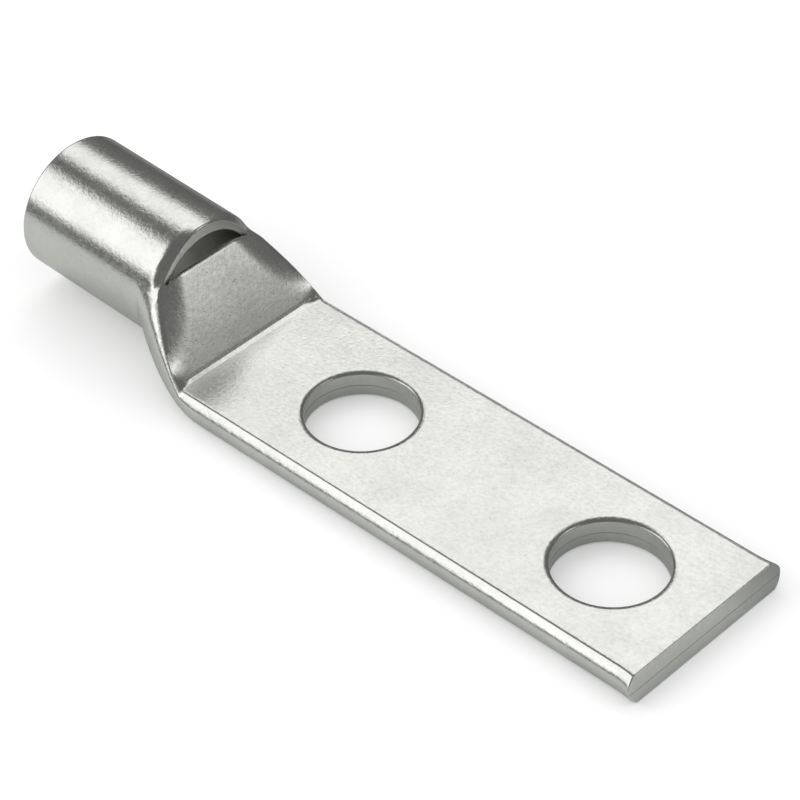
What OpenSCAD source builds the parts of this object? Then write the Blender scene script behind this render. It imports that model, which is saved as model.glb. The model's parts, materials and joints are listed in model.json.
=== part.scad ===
// Two-hole compression lug, one piece of tin-plated copper tube.
// The barrel keeps the round tube and its bore. The rest of the tube is pressed down onto its
// lower wall: first a short slope with folded sides, then a flat palm of two walls, punched twice.
// A crosswise cut at the top of the slope leaves the inspection window.
// The origin is midway between the two bolt holes, on the underside of the palm.
// +X runs to the tip of the palm, the barrel lies towards -X, and +Z is up.

/* [Tube] */
// Outer diameter of the tube
tube_od = 20.4; // [18:0.1:24]
// Wall thickness of the tube
tube_wall = 2.07; // [1.7:0.01:2.5]
// Length of the barrel, from its open end to the inspection window
barrel_len = 27.1; // [20:0.1:80]
// Angle at which the barrel rises towards its open end, in degrees
barrel_rise = 2; // [0.5:0.1:3]

/* [Slope] */
// Length of the barrel that already spreads ahead of the window
spread_len = 3.5; // [2.5:0.1:6]
// Distance from the barrel's cut edge at the window to the foot of the slope
slope_len = 7.57; // [7:0.01:11]
// Distance by which the slope's upper edge stands ahead of the barrel's cut edge
window_gap = 0.5; // [0.3:0.05:1]
// Half width of the slope's upper edge, and of the window
window_half = 6.2; // [5.4:0.1:6.8]
// Radius of the slope's upper edge
edge_round = 0.7; // [0.3:0.05:1]
// Angle from the top of the barrel to each fold's upper end, in degrees
fold_angle = 69; // [62:1:72]
// Depth of each fold's upper end under the surface of the barrel
fold_sink = 0.75; // [0.3:0.05:1]
// Length of the folds beyond the foot of the slope
fold_past = 1.2; // [0.8:0.1:2]
// Length of palm beyond the slope whose lower corners still settle
settle_len = 4.4; // [3:0.1:6]
// Depth by which the plate's sides are drawn in halfway down the slope
plate_waist = 0.5; // [0:0.05:0.8]

/* [Palm] */
// Distance between the centres of the two bolt holes
hole_spacing = 44.45; // [40:0.05:60]
// Diameter of each bolt hole
hole_d = 16.1; // [8:0.1:18]
// Distance from the foot of the slope to the centre of the first hole
hole_from_slope = 22.2; // [18:0.1:40]
// Distance from the centre of the second hole to the tip's upper edge
tip_from_hole = 15.5; // [12:0.1:30]
// Distance by which the tip's lower edge stands ahead of its upper edge
tip_lean = 0.8; // [0.2:0.1:1.2]
// Bulge of each folded side of the palm beyond the edge of the flat
side_bulge = 1; // [0.5:0.05:1.2]
// Widening of each half of the palm as its walls are pressed together
press_gain = 0.2; // [0:0.05:0.5]

/* [Hidden] */

round_fn = 96;
// Reach of a cutter past the surface that it cuts
cut = 1;
// Step between a lofted skin and the exact solid that it meets
skin = 0.01;
// Overlap along the axis of pieces of the same solid
lap = 0.4;

tube_r = tube_od / 2;
bore_r = tube_r - tube_wall;
palm_t = 2 * tube_wall;

// Each side of the palm is an arc, and the flat takes the rest of the tube's girth
side_r = (pow(side_bulge, 2) + pow(palm_t / 2, 2)) / (2 * side_bulge);
side_angle = asin(palm_t / 2 / side_r);
flat_half = PI * tube_r / 2 - PI / 180 * side_angle * side_r + press_gain;
palm_half = flat_half + side_bulge;

hole_x = hole_spacing / 2;
tip_x = hole_x + tip_from_hole;
foot_x = -hole_x - hole_from_slope;
fold_x = foot_x + fold_past;
palm_x = foot_x + settle_len;
window_x = foot_x - slope_len;
plate_x = window_x + window_gap;
spread_x = window_x - spread_len;
open_x = window_x - barrel_len;

// The barrel turns about the middle of the slope, where its lowest line is level with the palm
pivot_x = (window_x + fold_x) / 2;
function axis_z(x) = tube_r + (pivot_x - x) * tan(barrel_rise);

// The upper wall is pressed down into a flat plate, from the window to the foot of the slope
plate_top = axis_z(plate_x) + sqrt(pow(bore_r, 2) - pow(window_half, 2));
plate_fall = atan((plate_top - palm_t) / (foot_x - plate_x));
function plate_z(x) = palm_t + (foot_x - x) * tan(plate_fall);

function mix(a, b, s) = a + (b - a) * s;
function share(x, from, to) = max(0, min(1, (x - from) / (to - from)));
function ease(s) = s * s * (3 - 2 * s);

// Share of the way from round tube to flat palm at x, quick at first
spread_power = 1.8;
function spread(x) = 1 - pow(1 - share(x, spread_x, palm_x), spread_power);

// Edge where the side of the tube turns over into the pressed plate
function fold_run(x) = share(x, plate_x, fold_x);
fold_r = tube_r - fold_sink;
function fold_y(x) = mix(flat_half - skin, fold_r * sin(fold_angle), pow(1 - fold_run(x), 1.4));
function fold_z(x) =
    mix(palm_t - skin, axis_z(plate_x) + fold_r * cos(fold_angle), pow(1 - fold_run(x), 1.25));
function fold_edge(x) = x < plate_x ? shoulder(x, fold_angle) : [fold_y(x), fold_z(x)];

// Point of the round top, whose shoulders are drawn down to the folds close to the window
shoulder_len = 2.5;
shoulder_turn = 55;
function shoulder(x, turn) =
    let (
        near = ease(share(x, window_x - shoulder_len, window_x)),
        r = loft_r - fold_sink * near * ease(share(turn, 0, shoulder_turn))
    )
    [r * sin(turn), axis_z(x) + r * cos(turn)];
facet_end = 0.6;
function plate_half(x) =
    let (s = share(x, plate_x, fold_x))
    mix(window_half, flat_half - facet_end, s) - plate_waist * sin(180 * s);

// Lower quarter of a section, as [y, z], from the middle of the underside to the widest point.
// Each point keeps its share of the girth while the tube goes flat.
low_n = 12;
loft_r = (tube_r + skin) / cos(45 / low_n);
function low_round(x, r, turn) = [r * sin(turn), axis_z(x) - r * cos(turn)];
function low_flat(turn) =
    let (run = PI / 180 * turn * tube_r)
    run <= flat_half
        ? [run, skin]
        : let (rest = side_angle - (run - flat_half) / side_r * 180 / PI)
            [palm_half - side_r * (1 - cos(rest)) - skin, palm_t / 2 - (side_r - skin) * sin(rest)];
function under(x) =
    [for (i = [0:low_n]) let (turn = 90 * i / low_n)
        mix(low_round(x, loft_r, turn), low_flat(turn), spread(x))];

// Curve from the widest point up to the fold's edge, upright below and steep above
side_n = 5;
function flank(x) =
    let (
        low = mix([loft_r, axis_z(x)], [palm_half - skin, palm_t / 2], spread(x)),
        high = fold_edge(x),
        steep = mix(tan(fold_angle), 1, fold_run(x)),
        knee = [low[0], high[1] - steep * (low[0] - high[0])]
    )
    [for (i = [1:side_n]) let (s = i / side_n)
        pow(1 - s, 2) * low + 2 * s * (1 - s) * knee + pow(s, 2) * high];

// Top of a section behind the window, where the barrel is still round
top_n = 10;
function round_top(x) =
    [for (i = [1:top_n]) shoulder(x, fold_angle * (1 - i / top_n))];

// Top of a section on the slope: a facet from the fold's edge, then half of the plate
facet_n = 2;
function pressed_top(x) =
    let (half = plate_half(x), z = max(plate_z(x), palm_t - skin), plate_n = top_n - facet_n)
    concat(
        [for (i = [1:facet_n]) mix(fold_edge(x), [half, z], i / facet_n)],
        [for (i = [1:plate_n]) [half * (1 - i / plate_n), z]]);

// Closed ring of a section, from its right half
function ring(x, half) = concat(
    [for (p = half) [x, p[0], p[1]]],
    [for (i = [len(half) - 2:-1:1]) [x, -half[i][0], half[i][1]]]);

// Skin through rings that have equal counts of points, closed at both ends.
// The widest point starts each end's fan, so that no triangle there is flat.
module loft(rings) {
    n = len(rings[0]);
    last = len(rings) - 1;
    fan = [for (i = [0:n - 1]) (i + low_n) % n];
    polyhedron(
        points = [for (r = rings) each r],
        faces = concat(
            [fan],
            [for (j = [0:last - 1], i = [0:n - 1])
                [j * n + i, (j + 1) * n + i, (j + 1) * n + (i + 1) % n]],
            [for (j = [0:last - 1], i = [0:n - 1])
                [j * n + i, (j + 1) * n + (i + 1) % n, j * n + (i + 1) % n]],
            [[for (i = [n - 1:-1:0]) last * n + fan[i]]]),
        convexity = 6);
}

// Spreading end of the barrel, then the slope with its folds, as solid skins
spread_n = 5;
slope_n = 11;
settle_n = 5;
module spread_and_slope() {
    loft(concat(
        [for (i = [0:spread_n]) let (x = mix(spread_x, window_x, i / spread_n))
            ring(x, concat(under(x), flank(x), round_top(x)))],
        [for (x = concat(
                [for (i = [0:slope_n - 1]) mix(plate_x, foot_x, i / slope_n)],
                [for (i = [0:settle_n]) mix(foot_x, palm_x, i / settle_n)]))
            ring(x, concat(under(x), flank(x), pressed_top(x)))]));
}

// Round rod along the barrel's axis
module barrel_rod(r, from_x, to_x) {
    translate([pivot_x, 0, tube_r])
        rotate([0, 90 + barrel_rise, 0])
            translate([0, 0, (from_x - pivot_x) / cos(barrel_rise)])
                cylinder(r = r, h = (to_x - from_x) / cos(barrel_rise), $fn = round_fn);
}

// Hollow of the tube as it spreads, before the plate closes it
hollow_x = spread_x + lap;
hollow_n = 12;
hollow_half = flat_half - tube_wall / 2;
function hollow_ring(x) =
    let (r = (bore_r + skin) / cos(45 / low_n), side = mix([r, axis_z(x)], [hollow_half, tube_wall], spread(x)))
    ring(x, concat(
        [for (i = [0:low_n]) let (turn = 90 * i / low_n)
            mix(low_round(x, r, turn), [hollow_half * turn / 90, tube_wall], spread(x))],
        [for (i = [1:top_n]) let (turn = 90 * i / top_n)
            [side[0] * cos(turn), mix(side[1], axis_z(x) + r, sin(turn))]]));
module spread_hollow() {
    loft([for (i = [0:hollow_n]) hollow_ring(mix(hollow_x, foot_x, i / hollow_n))]);
}

// Side view of all that lies behind the plate and above its rounded upper edge.
// The plate's cut end is square to its faces.
edge_n = 6;
slit_end = 0.4;
module behind_plate() {
    along = [cos(plate_fall), -sin(plate_fall)];
    out = [sin(plate_fall), cos(plate_fall)];
    edge = [plate_x, plate_top];
    centre = edge + edge_round * (along - out);
    wall_drop = tube_wall / cos(plate_fall);
    end_z = tube_wall + slit_end;
    end_x = foot_x + (palm_t - wall_drop - end_z) / tan(plate_fall);
    above = centre + (edge_round + tube_r) * out;
    rotate([90, 0, 0])
        linear_extrude(height = 4 * palm_half, center = true)
            polygon(concat(
                [[hollow_x - cut, 0], [end_x, 0], [end_x, end_z], edge - tube_wall * out],
                [for (i = [0:edge_n]) let (a = 90 * i / edge_n)
                    centre + edge_round * (sin(a) * out - cos(a) * along)],
                [above, [above[0], above[1] + tube_r], [hollow_x - cut, above[1] + tube_r]]));
}

// Two walls pressed together: flat above and below, with a folded edge on each side
module palm_section() {
    translate([-flat_half, 0])
        square([2 * flat_half, palm_t]);
    for (side = [-1, 1])
        intersection() {
            translate([side * (palm_half - side_r), palm_t / 2])
                circle(r = side_r, $fn = round_fn);
            translate([side * palm_half - (side > 0 ? 2 * side_bulge : 0), 0])
                square([2 * side_bulge, palm_t]);
        }
}

// Plain bar of the palm, cut off at the tip by a leaning shear
module palm() {
    lean = tip_lean / palm_t;
    intersection() {
        translate([palm_x, 0, 0])
            rotate([90, 0, 90])
                linear_extrude(height = tip_x + 2 * tip_lean - palm_x)
                    palm_section();
        rotate([90, 0, 0])
            linear_extrude(height = 4 * palm_half, center = true)
                polygon([
                    [palm_x - cut, -cut],
                    [tip_x + tip_lean + lean * cut, -cut],
                    [tip_x - lean * cut, palm_t + cut],
                    [palm_x - cut, palm_t + cut]]);
    }
}

module bolt_holes() {
    for (side = [-1, 1])
        translate([side * hole_x, 0, -cut])
            cylinder(d = hole_d, h = palm_t + 2 * cut, $fn = round_fn);
}

module lug() {
    color("silver")
        difference() {
            union() {
                barrel_rod(tube_r, open_x, spread_x + lap);
                spread_and_slope();
                palm();
            }
            barrel_rod(bore_r, open_x - cut, hollow_x + lap);
            intersection() {
                spread_hollow();
                behind_plate();
            }
            bolt_holes();
        }
}

lug();
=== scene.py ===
"""Looks of a two-hole compression lug: one piece of tin-plated copper tube, pressed and punched."""
import json
import math

import bmesh
import bpy
from mathutils import Matrix, Vector


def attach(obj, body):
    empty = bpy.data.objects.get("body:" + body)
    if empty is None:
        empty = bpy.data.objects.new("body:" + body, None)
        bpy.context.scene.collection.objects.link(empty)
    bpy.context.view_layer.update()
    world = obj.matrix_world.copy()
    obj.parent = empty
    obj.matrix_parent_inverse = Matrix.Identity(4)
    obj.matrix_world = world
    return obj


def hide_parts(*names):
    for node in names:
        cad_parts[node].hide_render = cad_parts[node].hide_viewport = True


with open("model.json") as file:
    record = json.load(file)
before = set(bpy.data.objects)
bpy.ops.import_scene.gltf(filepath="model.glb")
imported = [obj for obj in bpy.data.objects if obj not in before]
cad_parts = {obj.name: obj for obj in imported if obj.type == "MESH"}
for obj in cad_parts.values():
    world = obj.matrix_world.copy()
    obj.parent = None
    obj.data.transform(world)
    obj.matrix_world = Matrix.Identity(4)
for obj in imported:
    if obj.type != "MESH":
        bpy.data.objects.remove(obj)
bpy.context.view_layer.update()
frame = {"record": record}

bl_info = {
    "name": "Two-hole compression lug",
    "version": (1, 0, 0),
    "blender": (4, 5, 0),
    "location": "3D View > Sidebar > Lug",
    "description": "Models a pressed tube lug with its tin finish, and the stage it is seen on",
    "category": "Mesh",
}

MM = 0.001
NODE = "lug"
BODY = "root"
MOUNTS = {mount["name"]: mount for mount in frame["record"]["mounts"]}
HOLES = MOUNTS["bolt_holes"]["dims"]
BORE = MOUNTS["conductor_bore"]["dims"]
TUBE_OD = 20.4

# Points on half a section: round underside, side, folded facet and plate
LOW = 28
SIDE = 14
FACET = 6
PLATE = 18
FOLD = LOW + SIDE
HALF = FOLD + FACET + PLATE
ROUND_STEPS = 4
SLOPE_RINGS = 36
FOOT_RINGS = 24
# The window starts this far up the half section, a little past the fold's crest
WINDOW = FOLD + 3
# Material slots, in the order of lug_materials
TIN, ON_SLOPE, ON_PUNCHED, IN_BORE, ON_TIP = range(5)
# Only the tip's cap faces along the palm with more than this area
CAP_AREA = 20 * MM ** 2

# Lamps, in metres: name, place, width, height and level. Fitted to the bands in the photograph
LAMPS = (
    ("near_softbox", (-0.60, -0.59, 0.50), 0.85, 0.72, 1.08),
    ("side_softbox", (-0.18, -0.93, 0.33), 0.50, 0.22, 1.1),
    ("far_softbox", (-0.50, 0.47, 0.74), 0.72, 0.52, 0.98),
)
# Glow of the studio's walls, which the standing card also has at its foot
WALL_GLOW = 0.13
# Standing card, in metres: its place, half width and height
CARD_PLACE = (0.737, 0.516)
CARD_HALF = 0.13
CARD_HEIGHT = 1.3
# Heights between which the card brightens, and its glow above them
CARD_FADE = (0.02, 0.52)
CARD_GLOW = 1.25
# Places across the lug, in mm, where the card under it has each band of painted floor shade
FLOOR_SHADE_BANDS = ((-97, "outer_floor_shade"), (-87, "near_floor_shade"), (8, "near_floor_shade"),
               (20, "far_floor_shade"), (70, "far_floor_shade"), (90, "outer_floor_shade"))
FLOOR_SHADE_SPAN = 100 * MM
FLOOR_GLOW = 0.2


def length(label, words, default):
    """A length that the sidebar shows, from a default in millimetres."""
    return bpy.props.FloatProperty(
        name=label, description=words, default=default * MM, precision=5, unit="LENGTH")


def turned(label, words, default):
    """An angle that the sidebar shows, from a default in degrees."""
    return bpy.props.FloatProperty(
        name=label, description=words, default=math.radians(default), unit="ROTATION")


def linear(hex_code):
    """Linear red, green, blue and alpha of an sRGB hex colour."""
    parts = [int(hex_code[i:i + 2], 16) / 255 for i in (1, 3, 5)]
    return [c / 12.92 if c <= 0.04045 else ((c + 0.055) / 1.055) ** 2.4 for c in parts] + [1.0]


def colour(label, words, hex_code):
    """A colour that the sidebar shows, from an sRGB hex default."""
    return bpy.props.FloatVectorProperty(
        name=label, description=words, default=linear(hex_code), size=4, subtype="COLOR",
        min=0.0, max=1.0)


class LugSizes(bpy.types.PropertyGroup):
    """Sizes of the lug."""

    tube_od: length("Tube diameter", "Outer diameter of the tube", TUBE_OD)
    tube_wall: length("Tube wall", "Wall thickness of the tube", TUBE_OD / 2 - BORE["r_mm"])
    barrel_len: length("Barrel length", "From the open end to the inspection window", 27.1)
    barrel_rise: turned("Barrel rise", "Angle at which the barrel rises to its open end", 2.0)
    mouth_round: length("Mouth rounding", "Radius of the deburred edges of the open end", 0.35)
    spread_len: length("Spread length", "Barrel that already spreads ahead of the window", 3.5)
    slope_len: length("Slope length", "From the barrel's cut edge to the foot of the slope", 7.57)
    window_gap: length("Window gap", "From the barrel's cut edge to the slope's upper edge", 0.5)
    window_half: length("Window half width", "Half width of the slope's upper edge", 6.2)
    edge_round: length("Edge rounding", "Radius of the slope's upper edge", 0.45)
    arch_round: length("Arch rounding", "Radius of the edges of the barrel's cut end", 0.3)
    foot_round: length("Foot rounding", "Reach of the bend at the foot of the slope", 0.12)
    foot_ridge: length("Foot ridge", "Height of the ridge that the press leaves along the foot", 0.1)
    ridge_len: length("Ridge length", "Palm over which the ridge falls away", 0.9)
    plate_crown: length("Plate crown", "Height by which the pressed plate is crowned", 0.25)
    fold_angle: turned("Fold angle", "From the top of the barrel to each fold's upper end", 69.0)
    fold_sink: length("Fold sink", "Depth of the barrel's shoulders inside the folds", 0.75)
    fold_swell: length("Fold swell", "Outward swell of each fold half way down the slope", 0.4)
    fold_past: length("Fold past foot", "Length of the folds beyond the slope", 1.2)
    settle_len: length("Settle length", "Palm whose lower corners still settle", 4.4)
    plate_waist: length("Plate waist", "Depth by which the plate's sides are drawn in", 0.5)
    hole_spacing: length("Hole spacing", "Between the bolt holes' centres", HOLES["spacing_x_mm"])
    hole_r: length("Hole radius", "Radius of each bolt hole", HOLES["hole_r_mm"])
    rim_reach: length("Rim reach", "Palm around each hole that the punch draws down", 1.2)
    rim_depth: length("Rim depth", "Depth by which the punch draws each rim down", 0.4)
    hole_from_slope: length("Hole from slope", "From the foot to the first hole's centre", 22.2)
    tip_from_hole: length("Tip from hole", "From the second hole's centre to the tip", 15.5)
    tip_lean: length("Tip lean", "Reach of the tip's lower edge past its upper edge", 0.8)
    tip_flare: length("Tip flare", "Bulge that the shear leaves at the tip's corners", 0.55)
    tip_round: length("Tip rounding", "Radius of the tip's edges", 0.25)
    side_bulge: length("Side bulge", "Bulge of the palm's folded sides", 1.0)
    side_crease: length("Side crease", "Depth of the press line along the palm's sides", 0.09)
    press_gain: length("Press gain", "Widening of each half of the palm in the press", 0.2)
    seam_drop: length("Seam drop", "Height of the seam under the middle of the palm", 0.2)
    seam_half: length("Seam half height", "Half height of the seam between the walls", 0.07)
    seam_depth: length("Seam depth", "Depth of the seam in cut faces", 0.14)


class LugFinish(bpy.types.PropertyGroup):
    """Colours of the lug's tin and of its cut faces."""

    tin: colour("Tin", "Satin tin plate", "#EEEEE9")
    tin_dull: colour("Dull tin", "Tin where handling has dulled it", "#E2E3DE")
    # One cut-face tin in shaded and lit copies: the rough punched walls darker as painted shade in the
    # holes and the window, the sheared tip lighter as painted light against the floor's shadow
    punched: colour("Punched", "Tin over the rough walls that the punch leaves", "#D8D9D4")
    sheared: colour("Sheared", "Tin over the tip, where the shear cut it", "#EAEBE6")
    # Far darker than the tin: dull tin inside the tube, and its dark colour is painted shade inside the
    # tube and in the window
    bore: colour("Bore", "Thin, dull tin inside the tube", "#BEBFBA")


class StageSettings(bpy.types.PropertyGroup):
    """Camera, floor and lamps."""

    eye: bpy.props.FloatVectorProperty(
        name="Eye", description="Place of the camera", default=(0.21147, -0.23853, 0.28996),
        subtype="TRANSLATION", unit="LENGTH")
    aim: bpy.props.FloatVectorProperty(
        name="Aim", description="Point at the middle of the picture", default=(-0.02165, 0.00698, 0.002),
        subtype="TRANSLATION", unit="LENGTH")
    roll: turned("Roll", "Turn of the camera about its own axis", -0.62)
    lens: bpy.props.FloatProperty(
        name="Lens", description="Focal length on a 36 mm sensor", default=145.0, unit="CAMERA")
    floor: colour("Floor", "Pale floor", "#F4F4F4")
    # The three shades below are painted shade of the white floor, on a card that only the metal sees:
    # lightest in front of the lug, darker behind it and further out
    near_floor_shade: colour("Near table", "Table top in front of the lug, which the metal shows", "#C9CCC9")
    far_floor_shade: colour("Far table", "Table top behind the lug, which the metal shows", "#8A8C8A")
    outer_floor_shade: colour("Dark table", "Table top further out, which the metal shows", "#5C5E5C")
    light_level: bpy.props.FloatProperty(
        name="Light level", description="Plain light of the room on matt surfaces", default=0.8)


def mix(a, b, s):
    """The value, or point, a share s of the way from a to b."""
    return a + (b - a) * s


def share(x, start, end):
    """How far x has come from start to end, from 0 to 1."""
    return max(0.0, min(1.0, (x - start) / (end - start)))


def ease(s):
    """A share that starts and ends gently."""
    return s * s * (3 - 2 * s)


def soft_ramp(run, reach):
    """Zero before the foot and the run itself past it, with a bend of that reach on each side."""
    if abs(run) >= reach:
        return max(0.0, run)
    return (run + reach) ** 2 / (4 * reach)


def curve(a, b, c, d, s):
    """Point at a share s of a cubic curve, which starts along a to b and ends along c to d."""
    t = 1 - s
    return t ** 3 * a + 3 * s * t ** 2 * b + 3 * s ** 2 * t * c + s ** 3 * d


class LugForm:
    """Sections along the lug. A half section runs from the middle of the underside to the top."""

    spread_power = 1.8
    fold_y_power = 1.4
    fold_z_power = 1.25
    shoulder_len = 1.6 * MM
    sunk_turn = math.radians(50)
    shoulder_turn = math.radians(9)
    roll_len = 5 * MM
    roll_slope = 1.15
    facet_end = 0.6 * MM
    nose = 0.22 * MM
    bend_reach = 1.6 * MM

    def __init__(self, sizes):
        self.sizes = sizes
        self.tube_r = sizes.tube_od / 2
        self.bore_r = self.tube_r - sizes.tube_wall
        self.palm_t = 2 * sizes.tube_wall
        bulge = sizes.side_bulge
        self.side_r = (bulge ** 2 + (self.palm_t / 2) ** 2) / (2 * bulge)
        self.side_angle = math.asin(self.palm_t / 2 / self.side_r)
        girth = math.pi * self.tube_r / 2
        self.flat_half = girth - self.side_angle * self.side_r + sizes.press_gain
        self.palm_half = self.flat_half + bulge
        self.hollow_half = self.flat_half - sizes.tube_wall / 2
        self.hole_x = sizes.hole_spacing / 2
        self.tip_x = self.hole_x + sizes.tip_from_hole
        self.foot_x = -self.hole_x - sizes.hole_from_slope
        self.fold_x = self.foot_x + sizes.fold_past
        self.palm_x = self.foot_x + sizes.settle_len
        self.window_x = self.foot_x - sizes.slope_len
        self.plate_x = self.window_x + sizes.window_gap
        self.spread_x = self.window_x - sizes.spread_len
        self.open_x = self.window_x - sizes.barrel_len
        self.pivot_x = (self.window_x + self.fold_x) / 2
        rise = math.sqrt(self.bore_r ** 2 - sizes.window_half ** 2)
        self.plate_top = self.axis_z(self.plate_x) + rise
        drop = self.plate_top - self.palm_t
        self.fall = math.atan(drop / (self.foot_x - self.plate_x))
        self.plate_out = Vector((math.sin(self.fall), 0, math.cos(self.fall)))
        self.seam_z = self.palm_t / 2 - sizes.seam_drop

    def axis_z(self, x):
        return self.tube_r + (self.pivot_x - x) * math.tan(self.sizes.barrel_rise)

    def plate_z(self, x):
        sizes = self.sizes
        ramp = soft_ramp(self.foot_x - x, sizes.foot_round)
        down = share(x, self.plate_x, self.foot_x)
        crown = 4 * sizes.plate_crown * down * (1 - down)
        ridge_top = self.foot_x + self.nose
        ridge_end = self.foot_x + sizes.ridge_len
        ridge = share(x, self.foot_x, ridge_top) * (1 - share(x, ridge_top, ridge_end))
        notch = 1 - share(abs(x - self.foot_x), 0, self.nose)
        press = sizes.foot_ridge * (ridge - notch)
        return self.palm_t + ramp * math.tan(self.fall) + crown + press

    def spread(self, x):
        return 1 - (1 - share(x, self.spread_x, self.palm_x)) ** self.spread_power

    def fold_left(self, x):
        return 1 - share(x, self.plate_x, self.fold_x)

    def around(self, x, r, turn):
        """Point of a round section, with the turn measured from its top."""
        return Vector((x, r * math.sin(turn), self.axis_z(x) + r * math.cos(turn)))

    def shoulder(self, x, turn):
        """Point of the round top, whose shoulders sink inside the folds by the window."""
        near = ease(share(x, self.window_x - self.shoulder_len, self.window_x))
        inside = ease(share(self.sizes.fold_angle - turn, 0, self.shoulder_turn))
        sink = self.sizes.fold_sink * near * ease(share(turn, 0, self.sunk_turn)) * inside
        return self.around(x, self.tube_r - sink, turn)

    def fold_edge(self, x):
        """Crest where the side of the tube turns over."""
        if x < self.plate_x:
            return self.shoulder(x, self.sizes.fold_angle)
        left = self.fold_left(x)
        high_y = self.tube_r * math.sin(self.sizes.fold_angle)
        high_z = self.axis_z(self.plate_x) + self.tube_r * math.cos(self.sizes.fold_angle)
        y = mix(self.flat_half, high_y, left ** self.fold_y_power)
        y += self.sizes.fold_swell * math.sin(math.pi * left)
        return Vector((x, y, mix(self.palm_t, high_z, left ** self.fold_z_power)))

    def plate_half(self, x):
        run = 1 - self.fold_left(x)
        wide = mix(self.sizes.window_half, self.flat_half - self.facet_end, run)
        return wide - self.sizes.plate_waist * math.sin(math.pi * run)

    def under(self, x):
        """Underside, whose points keep their share of the girth while the tube goes flat."""
        points = []
        for i in range(LOW + 1):
            turn = math.pi / 2 * i / LOW
            run = turn * self.tube_r
            if run <= self.flat_half:
                flat = Vector((x, run, 0))
            else:
                rest = self.side_angle - (run - self.flat_half) / self.side_r
                y = self.palm_half - self.side_r * (1 - math.cos(rest))
                flat = Vector((x, y, self.palm_t / 2 - self.side_r * math.sin(rest)))
            round_point = self.around(x, self.tube_r, math.pi - turn)
            points.append(mix(round_point, flat, self.spread(x)))
        return points

    def flank(self, x):
        """Side from the widest point up to the fold's crest, which the press rolls over."""
        high = self.fold_edge(x)
        low = mix(self.around(x, self.tube_r, math.pi / 2),
                  Vector((x, self.palm_half, self.palm_t / 2)), self.spread(x))
        rolled = ease(share(x, self.window_x - self.roll_len, self.plate_x))
        steep = mix(math.tan(self.sizes.fold_angle), self.roll_slope, rolled)
        knee = Vector((x, low.y, high.z - steep * (low.y - high.y)))
        hug = mix(2 / 3, 0.85, rolled)
        low_arm, high_arm = mix(low, knee, hug), mix(high, knee, hug)
        return [curve(low, low_arm, high_arm, high, i / SIDE) for i in range(1, SIDE + 1)]

    def round_top(self, x):
        steps = FACET + PLATE
        return [self.shoulder(x, self.sizes.fold_angle * (1 - i / steps))
                for i in range(1, steps + 1)]

    def pressed_top(self, x):
        """Facet from the crest to the plate, a soft bend, then half of the plate."""
        crest = self.fold_edge(x)
        bend = Vector((x, self.plate_half(x), self.plate_z(x)))
        middle = Vector((x, 0, bend.z))
        flat = bend - Vector((0, self.bend_reach, 0))
        turns = 2 * FACET
        top = [curve(crest, mix(crest, bend, 0.8), mix(flat, bend, 0.6), flat, i / turns)
               for i in range(1, turns + 1)]
        rest = FACET + PLATE - turns
        return top + [mix(flat, middle, i / rest) for i in range(1, rest + 1)]

    def outer(self, x):
        """Half section of the outer skin."""
        top = self.round_top(x) if x < self.plate_x else self.pressed_top(x)
        return self.under(x) + self.flank(x) + top

    def bore(self, x, r):
        """Half section of a round wall, with its points where the outer skin has them."""
        turns = [math.pi - math.pi / 2 * i / LOW for i in range(LOW + 1)]
        fold = self.sizes.fold_angle
        turns += [mix(math.pi / 2, fold, i / SIDE) for i in range(1, SIDE + 1)]
        turns += [fold * (1 - i / (FACET + PLATE)) for i in range(1, FACET + PLATE + 1)]
        return [self.around(x, r, turn) for turn in turns]

    def hollow(self, s):
        """Half section of the inner wall behind the plate, a share s of the way down the slope."""
        wall = self.sizes.tube_wall
        x = mix(self.plate_x, self.foot_x - 1.5 * wall, s)
        side = mix(self.around(x, self.bore_r, math.pi / 2),
                   Vector((x, self.hollow_half, wall)), self.spread(x))
        points = []
        for i in range(LOW + 1):
            turn = math.pi / 2 * i / LOW
            flat = Vector((x, self.hollow_half * i / LOW, wall))
            points.append(mix(self.around(x, self.bore_r, math.pi - turn), flat, self.spread(x)))
        crest = self.fold_edge(x) - Vector((0, 0.9, 0.95)) * wall
        half = min(self.plate_half(x) - 0.15 * wall, crest.y - 0.25 * wall)
        bend = Vector((x, half, self.plate_z(x) - wall / math.cos(self.fall)))
        middle = Vector((x, 0, bend.z))
        points += [mix(side, crest, i / SIDE) for i in range(1, SIDE + 1)]
        points += [mix(crest, bend, i / FACET) for i in range(1, FACET + 1)]
        return points + [mix(bend, middle, i / PLATE) for i in range(1, PLATE + 1)]


def full_ring(half):
    """A whole section from its half, with the other side mirrored."""
    mirrored = [Vector((p.x, -p.y, p.z)) for p in half[-2:0:-1]]
    return half + mirrored


def round_steps(radius):
    """Distance from the edge and depth under the surface, along a rounded edge."""
    turns = [math.pi / 2 * i / ROUND_STEPS for i in range(ROUND_STEPS + 1)]
    return [(radius * (1 - math.sin(a)), radius * (1 - math.cos(a))) for a in turns]


def cut_share(u):
    """Share of an edge's rounding at a point: none below the window, and all of it past its corner."""
    return share(u, WINDOW - 1, WINDOW + 2)


def mouth_rings(form):
    """The open end: up the rounded inner edge, across the end and over the rounded outer edge."""
    radius = form.sizes.mouth_round
    inner = [form.bore(form.open_x + d, form.bore_r + e) for d, e in round_steps(radius)]
    outer = [form.bore(form.open_x + d, form.tube_r - e) for d, e in round_steps(radius)]
    rings = inner + outer[::-1]
    tilt = math.tan(form.sizes.barrel_rise)
    for ring in rings:
        for p in ring:
            p.x += tilt * (p.z - form.axis_z(p.x))
    return rings


def arch_rings(form, skin, sign):
    """Rings that round the cut edge at the window, on the outer (-1) or inner (1) skin."""
    rings = []
    for d, e in round_steps(form.sizes.arch_round):
        x = form.window_x - d
        ring = skin(x)
        for u, p in enumerate(ring):
            away = Vector((0, p.y, p.z - form.axis_z(x))).normalized()
            p += sign * e * cut_share(u) * away
        rings.append(ring)
    return rings


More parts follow.
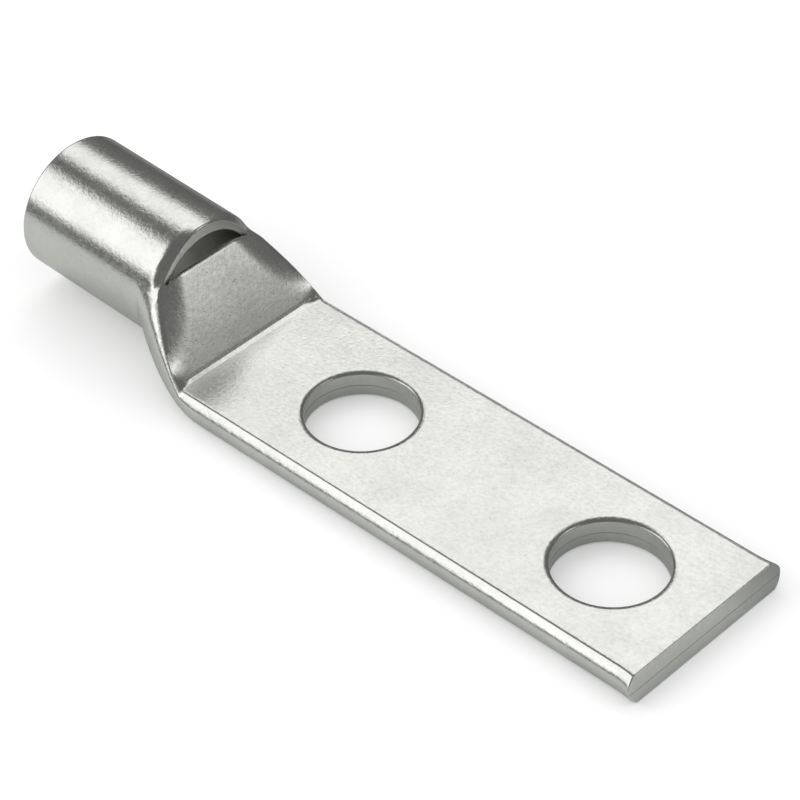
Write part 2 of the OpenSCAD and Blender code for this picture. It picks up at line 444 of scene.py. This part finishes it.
def plate_rings(form):
    """Rings that round the slope's upper edge, from the cut end down onto the plate."""
    rings = []
    for d, e in round_steps(form.sizes.edge_round)[::-1]:
        ring = form.outer(form.plate_x + d * math.cos(form.fall))
        for u, p in enumerate(ring):
            p -= e * cut_share(u) * form.plate_out
        rings.append(ring)
    return rings


def evenly(start, end, steps):
    """Values from start to end, without start itself."""
    return [mix(start, end, i / steps) for i in range(1, steps + 1)]


def pressed_line(form, ring):
    """Presses the thin line between the flat and the rounded side of the palm."""
    depth = form.sizes.side_crease * share(ring[0].x, form.foot_x, form.fold_x)
    for u, part in ((FOLD, 0.2), (FOLD + 1, 1.0), (FOLD + 2, 0.35)):
        ring[u].z -= depth * part
    return ring


def tip_ring(form, x):
    """Section near the tip, which the shear leaves leaning and bulged at its sides."""
    near = share(x, form.tip_x - 3 * MM, form.tip_x)
    ring = pressed_line(form, form.outer(x))
    for p in ring:
        p.x += form.sizes.tip_lean * near * (1 - p.z / form.palm_t)
        edge = ease(share(p.y, form.flat_half - 1.5 * MM, form.palm_half))
        belly = 1 - abs(p.z / form.palm_t - 0.6)
        p.y += form.sizes.tip_flare * near ** 2 * edge * belly
    return ring


def lug_rings(form):
    """All rings, from the end of the hollow out to the mouth and along the outside to the tip.
    Also returns the numbers of the rings on both sides of the window, inside and outside."""
    rings = [form.hollow(1 - i / 12) for i in range(13)]
    rings += arch_rings(form, lambda x: form.bore(x, form.bore_r), 1)[::-1]
    inside = (12, 13)
    rings.append(form.bore(form.spread_x, form.bore_r))
    rings += mouth_rings(form)
    for x in evenly(form.spread_x - 2 * MM, form.window_x - 1.5 * form.sizes.arch_round, 14):
        rings.append(form.outer(x))
    rings += arch_rings(form, form.outer, -1)
    outside = (len(rings) - 1, len(rings))
    rings += plate_rings(form)
    marks = [form.plate_x + form.sizes.edge_round * math.cos(form.fall),
             form.foot_x - form.sizes.ridge_len, form.foot_x + form.sizes.ridge_len, form.palm_x]
    for start, end, steps in zip(marks, marks[1:], (SLOPE_RINGS, FOOT_RINGS, 16)):
        for x in evenly(start, end, steps):
            rings.append(pressed_line(form, form.outer(x)))
    for x in evenly(form.palm_x, form.tip_x - 3 * MM, 4) + evenly(form.tip_x - 3 * MM, form.tip_x, 8):
        rings.append(tip_ring(form, x))
    return [full_ring(ring) for ring in rings], inside, outside


def extrude_skin(bm, rings):
    """Extrudes a ring of edges from station to station, each moved to its section."""
    place = bm.verts.layers.int.new("place")
    station = bm.verts.layers.int.new("station")
    ring = bmesh.ops.create_circle(bm, segments=len(rings[0]), radius=MM)["verts"]
    for i, vert in enumerate(ring):
        vert[place] = i
        vert.co = rings[0][i]
    edges = bm.edges[:]
    bmesh.ops.contextual_create(bm, geom=edges)
    for number, points in enumerate(rings[1:], 1):
        made = bmesh.ops.extrude_edge_only(bm, edges=edges)["geom"]
        ring = {item for item in made if isinstance(item, bmesh.types.BMVert)}
        edges = [item for item in made if isinstance(item, bmesh.types.BMEdge)
                 and item.verts[0] in ring and item.verts[1] in ring]
        for vert in ring:
            vert[station] = number
            vert.co = points[vert[place]]
    return edges


def from_top(vert, place):
    """Number of a vertex on its half section, whichever side it is on."""
    return min(vert[place], 2 * HALF - vert[place])


def open_window(bm, pairs):
    """Takes out the skins' faces between the cut edge and the plate, and walls the cut."""
    place = bm.verts.layers.int["place"]
    station = bm.verts.layers.int["station"]
    gone = []
    for face in bm.faces:
        stations = {vert[station] for vert in face.verts}
        cut = stations in [set(pair) for pair in pairs]
        if cut and all(from_top(v, place) >= WINDOW for v in face.verts):
            gone.append(face)
    bmesh.ops.delete(bm, geom=gone, context="FACES")
    rims = [edge for edge in bm.edges if edge.is_boundary]
    (plate_in, arch_in), (arch_out, plate_out) = pairs
    # The wall across the plate's top edge, in the window's gap, takes the dark bore finish as painted
    # shade; the arch's cut end takes the punched finish
    for ends, slot in (((arch_out, arch_in), ON_PUNCHED), ((plate_out, plate_in), IN_BORE)):
        chains = [e for e in rims if e.verts[0][station] == e.verts[1][station] in ends]
        for face in bmesh.ops.bridge_loops(bm, edges=chains)["faces"]:
            face.material_index = slot
    corners = [edge for edge in bm.edges if edge.is_boundary]
    for face in bmesh.ops.holes_fill(bm, edges=corners, sides=4)["faces"]:
        face.material_index = ON_PUNCHED


def close_tip(bm, form, edges):
    """Caps the sheared tip, rounds its edges and presses in the seam between the two walls."""
    bmesh.ops.contextual_create(bm, geom=edges)
    bmesh.ops.bevel(bm, geom=edges, offset=form.sizes.tip_round, segments=3, profile=0.5,
                    affect="EDGES", clamp_overlap=True, material=-1)
    cap = [face for face in bm.faces if face.normal.x > 0.9 and face.calc_area() > CAP_AREA]
    for lift in (-1, 0, 1):
        height = form.seam_z + lift * form.sizes.seam_half
        geom = cap + [item for item in bm.verts[:] + bm.edges[:]
                      if any(face in cap for face in item.link_faces)]
        bmesh.ops.bisect_plane(bm, geom=geom, dist=1e-7, plane_co=(0, 0, height), plane_no=(0, 0, 1))
        cap = [face for face in bm.faces if face.normal.x > 0.9 and face.calc_center_median().x
               > form.tip_x - form.sizes.tip_round]
    for face in cap:
        face.material_index = ON_TIP
    for vert in {v for f in cap for v in f.verts}:
        if abs(vert.co.z - form.seam_z) < 1e-6:
            vert.co.x -= form.sizes.seam_depth


def make_punch(form, x):
    """A cutter for one hole: a spun profile with rolled rims and a ridge at the seam."""
    sizes = form.sizes
    r, t, reach, depth = sizes.hole_r, form.palm_t, sizes.rim_reach, sizes.rim_depth
    # Starts each rim this far outside the palm, so that none of its points lies on the palm's face
    skin = 0.02 * MM
    steps = [math.pi / 2 * i / 8 for i in range(9)]
    low = [(r + reach * (1 - math.sin(a)), depth * (1 - math.cos(a)) - skin) for a in steps]
    seam = [(r, form.seam_z - sizes.seam_half), (r + sizes.seam_depth, form.seam_z),
            (r, form.seam_z + sizes.seam_half)]
    high = [(y, t - z) for y, z in low[::-1]]
    wide = r + reach
    outline = [(0, -MM), (wide, -MM)] + low + seam + high + [(wide, t + MM), (0, t + MM)]
    bm = bmesh.new()
    verts = [bm.verts.new((x + y, 0, z)) for y, z in outline]
    edges = [bm.edges.new(pair) for pair in zip(verts, verts[1:])]
    bmesh.ops.spin(bm, geom=verts + edges, cent=(x, 0, 0), axis=(0, 0, 1), angle=2 * math.pi,
                   steps=96, use_merge=True)
    bmesh.ops.remove_doubles(bm, verts=bm.verts, dist=1e-7)
    bmesh.ops.recalc_face_normals(bm, faces=bm.faces)
    return new_object(bm, "hole_punch")


def new_object(bm, name):
    """An object from a finished bmesh, at the origin."""
    mesh = bpy.data.meshes.new(name)
    bm.to_mesh(mesh)
    bm.free()
    made = bpy.data.objects.new(name, mesh)
    bpy.context.scene.collection.objects.link(made)
    return made


def punch_holes(lug, punches):
    """Cuts the punches out of the palm and removes them."""
    for punch in punches:
        cut = lug.modifiers.new("Punched hole", "BOOLEAN")
        cut.object = punch
        cut.operation = "DIFFERENCE"
        cut.solver = "EXACT"
    shown = lug.evaluated_get(bpy.context.evaluated_depsgraph_get())
    mesh = bpy.data.meshes.new_from_object(shown)
    lug.modifiers.clear()
    lug.data = mesh
    for punch in punches:
        bpy.data.objects.remove(punch)


def finish_shading(lug, form):
    """Marks the faces of the hole walls, then smooths all but the sharp edges."""
    mesh = lug.data
    for face in mesh.polygons:
        centre = face.center
        reach = min(math.hypot(centre.x - s * form.hole_x, centre.y) for s in (-1, 1))
        if reach < form.sizes.hole_r + form.sizes.seam_depth and abs(face.normal.z) < 0.9:
            face.material_index = ON_PUNCHED
        face.use_smooth = True
    mesh.set_sharp_from_angle(angle=math.radians(40))
    even = lug.modifiers.new("Even flats", "WEIGHTED_NORMAL")
    even.keep_sharp = True


def add_node(tree, kind, links=None, **settings):
    """Adds a node, sets its properties and sockets by name, and links its inputs."""
    node = tree.nodes.new(kind)
    for name, value in settings.items():
        if hasattr(node, name):
            setattr(node, name, value)
        else:
            node.inputs[name.replace("_", " ")].default_value = value
    for name, source in (links or {}).items():
        tree.links.new(source, node.inputs[name])
    return node


def empty_material(name):
    """A material with only its output, and its tree."""
    material = bpy.data.materials.new(name)
    material.use_nodes = True
    material.node_tree.nodes.clear()
    return material, material.node_tree


def tin_metal(name, clean, dull, wave_mm, wave_depth, pit_depth, streak_scale, roughness):
    """Electroplated tin on copper. Tin plates satin, nearly white, and its fine grain blurs
    reflections a little. The press leaves waves under it, and handling leaves pits and rubs."""
    material, tree = empty_material(name)
    where = add_node(tree, "ShaderNodeTexCoord").outputs["Object"]
    wave = add_node(tree, "ShaderNodeTexNoise", {"Vector": where},
                    Scale=1 / (wave_mm * MM), Detail=4.0, Roughness=0.55)
    streaked = add_node(tree, "ShaderNodeMapping", {"Vector": where}, Scale=streak_scale)
    rubs = add_node(tree, "ShaderNodeTexNoise", {"Vector": streaked.outputs["Vector"]},
                    Scale=1 / (0.5 * MM), Detail=5.0, Roughness=0.6)
    # Pits are about 0.3 mm across, a little under two pixels, so they just show
    cells = add_node(tree, "ShaderNodeTexVoronoi", {"Vector": where}, Scale=1 / (0.75 * MM))
    pits = add_node(tree, "ShaderNodeMapRange", {"Value": cells.outputs["Distance"]},
                    From_Min=0.0, From_Max=0.22)
    patches = add_node(tree, "ShaderNodeTexNoise", {"Vector": where},
                       Scale=1 / (6 * MM), Detail=6.0, Roughness=0.65)
    worn = add_node(tree, "ShaderNodeMapRange", {"Value": patches.outputs["Fac"]},
                    From_Min=0.38, From_Max=0.66)
    tint = add_node(tree, "ShaderNodeMix", {"Factor": worn.outputs["Result"]}, data_type="RGBA")
    tint.inputs["A"].default_value = clean
    tint.inputs["B"].default_value = dull
    gloss = add_node(tree, "ShaderNodeMapRange", {"Value": rubs.outputs["Fac"]},
                     From_Min=0.3, From_Max=0.7, To_Min=roughness - 0.05, To_Max=roughness + 0.07)
    low = add_node(tree, "ShaderNodeBump", {"Height": wave.outputs["Fac"]},
                   Strength=1.0, Distance=wave_depth * MM)
    fine = add_node(tree, "ShaderNodeBump",
                    {"Height": rubs.outputs["Fac"], "Normal": low.outputs["Normal"]},
                    Strength=1.0, Distance=0.4 * wave_depth * MM)
    last = add_node(tree, "ShaderNodeBump",
                    {"Height": pits.outputs["Result"], "Normal": fine.outputs["Normal"]},
                    Strength=1.0, Distance=pit_depth * MM)
    shader = add_node(tree, "ShaderNodeBsdfPrincipled",
                      {"Base Color": tint.outputs["Result"], "Roughness": gloss.outputs["Result"],
                       "Normal": last.outputs["Normal"]}, Metallic=1.0)
    add_node(tree, "ShaderNodeOutputMaterial", {"Surface": shader.outputs["BSDF"]})
    return material


def lug_materials(finish):
    """The lug's finishes, in the order of its material slots."""
    tin, dull, bore = finish.tin[:], finish.tin_dull[:], finish.bore[:]
    punched, sheared = finish.punched[:], finish.sheared[:]
    # Width and depth of the waves and depth of the pits are in mm
    return [
        tin_metal("satin_tin_plate", tin, dull, 0.6, 0.026, 0.01, (0.8, 1, 1), 0.22),
        tin_metal("tin_on_pressed_slope", tin, dull, 1.1, 0.02, 0.012, (1, 0.8, 1), 0.24),
        # Painted shade on the punched faces and painted light on the sheared tip, through their colours
        tin_metal("tin_on_punched_face", punched, dull, 0.9, 0.03, 0.006, (1, 1, 0.2), 0.34),
        # The bore's dark colour is painted shade inside the tube and in the window
        tin_metal("thin_tin_in_bore", bore, bore, 0.9, 0.03, 0.006, (0.3, 1, 1), 0.42),
        tin_metal("tin_on_sheared_tip", sheared, dull, 0.9, 0.03, 0.006, (1, 1, 0.2), 0.36),
    ]


class LUG_OT_make_lug(bpy.types.Operator):
    """Model the lug as one skin, from the bore round the mouth and on to the palm"""

    bl_idname = "lug.make_lug"
    bl_label = "Make lug"

    def execute(self, context):
        form = LugForm(context.scene.lug_sizes)
        rings, inside, outside = lug_rings(form)
        bm = bmesh.new()
        edges = extrude_skin(bm, rings)
        station = bm.verts.layers.int["station"]
        slope = range(outside[1] + 1, outside[1] + ROUND_STEPS + SLOPE_RINGS + FOOT_RINGS // 2)
        hidden = range(inside[1] + 2 * ROUND_STEPS)
        place = bm.verts.layers.int["place"]
        for face in bm.faces:
            pressed = all(v[station] in slope and from_top(v, place) >= FOLD for v in face.verts)
            within = all(v[station] in hidden for v in face.verts)
            face.material_index = ON_SLOPE if pressed else IN_BORE if within else TIN
        bmesh.ops.recalc_face_normals(bm, faces=bm.faces)
        close_tip(bm, form, edges)
        open_window(bm, (inside, outside))
        bmesh.ops.recalc_face_normals(bm, faces=bm.faces)
        lug = new_object(bm, "pressed_lug")
        punch_holes(lug, [make_punch(form, side * form.hole_x) for side in (-1, 1)])
        for material in lug_materials(context.scene.lug_finish):
            lug.data.materials.append(material)
        finish_shading(lug, form)
        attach(lug, BODY)
        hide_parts(NODE)
        return {"FINISHED"}


def seen_directly(tree):
    """One for rays from the eye, off metal and through glass, and zero for plain light."""
    path = add_node(tree, "ShaderNodeLightPath").outputs
    seen = path["Is Camera Ray"]
    for kind in ("Is Glossy Ray", "Is Transmission Ray"):
        either = add_node(tree, "ShaderNodeMath", operation="MAXIMUM")
        tree.links.new(seen, either.inputs[0])
        tree.links.new(path[kind], either.inputs[1])
        seen = either.outputs[0]
    return seen


def matt(name, shade, glow):
    """A matt stage material, with a glow that the eye and the metal both see."""
    material, tree = empty_material(name)
    matt_shader = add_node(tree, "ShaderNodeBsdfDiffuse", Color=shade)
    lift = add_node(tree, "ShaderNodeMath", operation="MULTIPLY")
    tree.links.new(seen_directly(tree), lift.inputs[0])
    lift.inputs[1].default_value = glow
    shine = add_node(tree, "ShaderNodeEmission", {"Strength": lift.outputs[0]})
    both = add_node(tree, "ShaderNodeAddShader")
    tree.links.new(matt_shader.outputs[0], both.inputs[0])
    tree.links.new(shine.outputs[0], both.inputs[1])
    add_node(tree, "ShaderNodeOutputMaterial", {"Surface": both.outputs[0]})
    return material


def floor_shade_material(settings):
    """A card in bands along the lug, which only the metal sees, painted shade of the floor: dark, light
    in front of it, grey behind it, dark.
    """
    material, tree = empty_material("banded_table")
    where = add_node(tree, "ShaderNodeTexCoord").outputs["Object"]
    across = add_node(tree, "ShaderNodeSeparateXYZ", {"Vector": where}).outputs["Y"]
    along = add_node(tree, "ShaderNodeMapRange", {"Value": across},
                     From_Min=-FLOOR_SHADE_SPAN, From_Max=FLOOR_SHADE_SPAN)
    ramp = add_node(tree, "ShaderNodeValToRGB", {"Fac": along.outputs["Result"]})
    stops = ramp.color_ramp.elements
    while len(stops) < len(FLOOR_SHADE_BANDS):
        stops.new(1.0)
    for stop, (place, shade) in zip(stops, FLOOR_SHADE_BANDS):
        stop.position = (place * MM + FLOOR_SHADE_SPAN) / (2 * FLOOR_SHADE_SPAN)
        stop.color = getattr(settings, shade)[:]
    cover = add_node(tree, "ShaderNodeBsdfDiffuse", {"Color": ramp.outputs["Color"]})
    add_node(tree, "ShaderNodeOutputMaterial", {"Surface": cover.outputs[0]})
    return material


def room_card():
    """Dark walls of the studio, which the metal shows between the lamps."""
    material, tree = empty_material("studio_wall")
    shine = add_node(tree, "ShaderNodeEmission", Strength=WALL_GLOW)
    add_node(tree, "ShaderNodeOutputMaterial", {"Surface": shine.outputs[0]})
    return material


def fading_card():
    """A card with a glow of its own, which fades from its top down to the table."""
    material, tree = empty_material("pale_standing_card")
    where = add_node(tree, "ShaderNodeTexCoord").outputs["Object"]
    height = add_node(tree, "ShaderNodeSeparateXYZ", {"Vector": where}).outputs["Z"]
    fade = add_node(tree, "ShaderNodeMapRange", {"Value": height}, interpolation_type="SMOOTHSTEP",
                    From_Min=CARD_FADE[0], From_Max=CARD_FADE[1],
                    To_Min=WALL_GLOW, To_Max=CARD_GLOW)
    shine = add_node(tree, "ShaderNodeEmission", {"Strength": fade.outputs["Result"]})
    add_node(tree, "ShaderNodeOutputMaterial", {"Surface": shine.outputs[0]})
    return material


def standing_card(name, place, half_width, height, material):
    """An upright card on the table that faces the lug."""
    bm = bmesh.new()
    bmesh.ops.create_grid(bm, x_segments=1, y_segments=1, size=0.5)
    bmesh.ops.scale(bm, verts=bm.verts, vec=(2 * half_width, height, 1))
    upright = Matrix.Rotation(math.pi / 2, 4, "X")
    facing = Matrix.Rotation(math.atan2(place[1], place[0]) + math.pi / 2, 4, "Z")
    lifted = Matrix.Translation((place[0], place[1], height / 2))
    bmesh.ops.transform(bm, matrix=lifted @ facing @ upright, verts=bm.verts)
    made = new_object(bm, name)
    made.data.materials.append(material)
    only_in_metal(made)


def only_in_metal(card):
    """Leaves a card to the lug's reflections, out of the picture and out of the light."""
    card.visible_camera = False
    card.visible_diffuse = False
    card.visible_shadow = False
    card.visible_transmission = False
    card.visible_volume_scatter = False


def square_floor(name, height, half, material):
    """A flat square of the stage."""
    bm = bmesh.new()
    bmesh.ops.create_grid(bm, x_segments=1, y_segments=1, size=half)
    bmesh.ops.translate(bm, verts=bm.verts, vec=(0, 0, height))
    made = new_object(bm, name)
    made.data.materials.append(material)
    return made


def softbox(name, place, width, height, level):
    """A lamp of even brightness that faces the lug, wide along the floor."""
    lamp = bpy.data.lights.new(name, "AREA")
    lamp.shape = "RECTANGLE"
    lamp.size = width
    lamp.size_y = height
    lamp.energy = level * math.pi * width * height
    made = bpy.data.objects.new(name, lamp)
    bpy.context.scene.collection.objects.link(made)
    turn = Vector(place).to_track_quat("Z", "Y").to_matrix().to_4x4()
    made.matrix_world = Matrix.Translation(place) @ turn
    made.visible_camera = False


def aim_camera(settings):
    """The camera at the photograph's place, turned upright and then rolled a little."""
    data = bpy.data.cameras.new("photo_camera")
    data.lens = settings.lens
    data.sensor_width = 36.0
    data.clip_start = 0.01
    camera = bpy.data.objects.new("photo_camera", data)
    bpy.context.scene.collection.objects.link(camera)
    eye, aim = Vector(settings.eye), Vector(settings.aim)
    upright = (aim - eye).to_track_quat("-Z", "Y").to_matrix().to_4x4()
    camera.matrix_world = Matrix.Translation(eye) @ upright @ Matrix.Rotation(settings.roll, 4, "Z")
    bpy.context.scene.camera = camera


def light_room(level):
    """A white world, which lights matt surfaces at a plain level."""
    world = bpy.data.worlds.new("white_room")
    bpy.context.scene.world = world
    world.use_nodes = True
    tree = world.node_tree
    tree.nodes.clear()
    strength = add_node(tree, "ShaderNodeMapRange", {"Value": seen_directly(tree)},
                        To_Min=level, To_Max=1.0)
    sky = add_node(tree, "ShaderNodeBackground", {"Strength": strength.outputs["Result"]},
                   Color=(1, 1, 1, 1))
    add_node(tree, "ShaderNodeOutputWorld", {"Surface": sky.outputs[0]})


class LUG_OT_make_stage(bpy.types.Operator):
    """Set up the floor, the studio that the metal reflects, the lamps and the camera"""

    bl_idname = "lug.make_stage"
    bl_label = "Make stage"

    def execute(self, context):
        settings = context.scene.lug_stage
        white = matt("white_floor", settings.floor[:], FLOOR_GLOW)
        square_floor("floor", -0.1 * MM, 8.0, white)
        # A grey card just over the floor that only the metal sees: painted floor shade in the lug's
        # reflections
        only_in_metal(square_floor("table_card", -0.05 * MM, 2.9, floor_shade_material(settings)))
        bm = bmesh.new()
        bmesh.ops.create_icosphere(bm, subdivisions=4, radius=3.0)
        room = new_object(bm, "studio_card")
        room.data.materials.append(room_card())
        only_in_metal(room)
        for lamp in LAMPS:
            softbox(*lamp)
        standing_card("tip_card", CARD_PLACE, CARD_HALF, CARD_HEIGHT, fading_card())
        light_room(settings.light_level)
        aim_camera(settings)
        context.scene.view_settings.view_transform = "Standard"
        return {"FINISHED"}


class LUG_PT_sidebar(bpy.types.Panel):
    """Sizes, finish and stage of the lug"""

    bl_label = "Lug"
    bl_idname = "LUG_PT_sidebar"
    bl_space_type = "VIEW_3D"
    bl_region_type = "UI"
    bl_category = "Lug"

    def draw(self, context):
        scene = context.scene
        for group in (scene.lug_sizes, scene.lug_finish, scene.lug_stage):
            box = self.layout.box()
            for name in group.__annotations__:
                box.prop(group, name)
        self.layout.operator(LUG_OT_make_lug.bl_idname)
        self.layout.operator(LUG_OT_make_stage.bl_idname)


CLASSES = (LugSizes, LugFinish, StageSettings, LUG_OT_make_lug, LUG_OT_make_stage, LUG_PT_sidebar)


def register():
    for item in CLASSES:
        bpy.utils.register_class(item)
    bpy.types.Scene.lug_sizes = bpy.props.PointerProperty(type=LugSizes)
    bpy.types.Scene.lug_finish = bpy.props.PointerProperty(type=LugFinish)
    bpy.types.Scene.lug_stage = bpy.props.PointerProperty(type=StageSettings)


def unregister():
    del bpy.types.Scene.lug_stage
    del bpy.types.Scene.lug_finish
    del bpy.types.Scene.lug_sizes
    for item in reversed(CLASSES):
        bpy.utils.unregister_class(item)


def main():
    register()
    bpy.ops.lug.make_stage()
    bpy.ops.lug.make_lug()


if __name__ == "__main__":
    main()
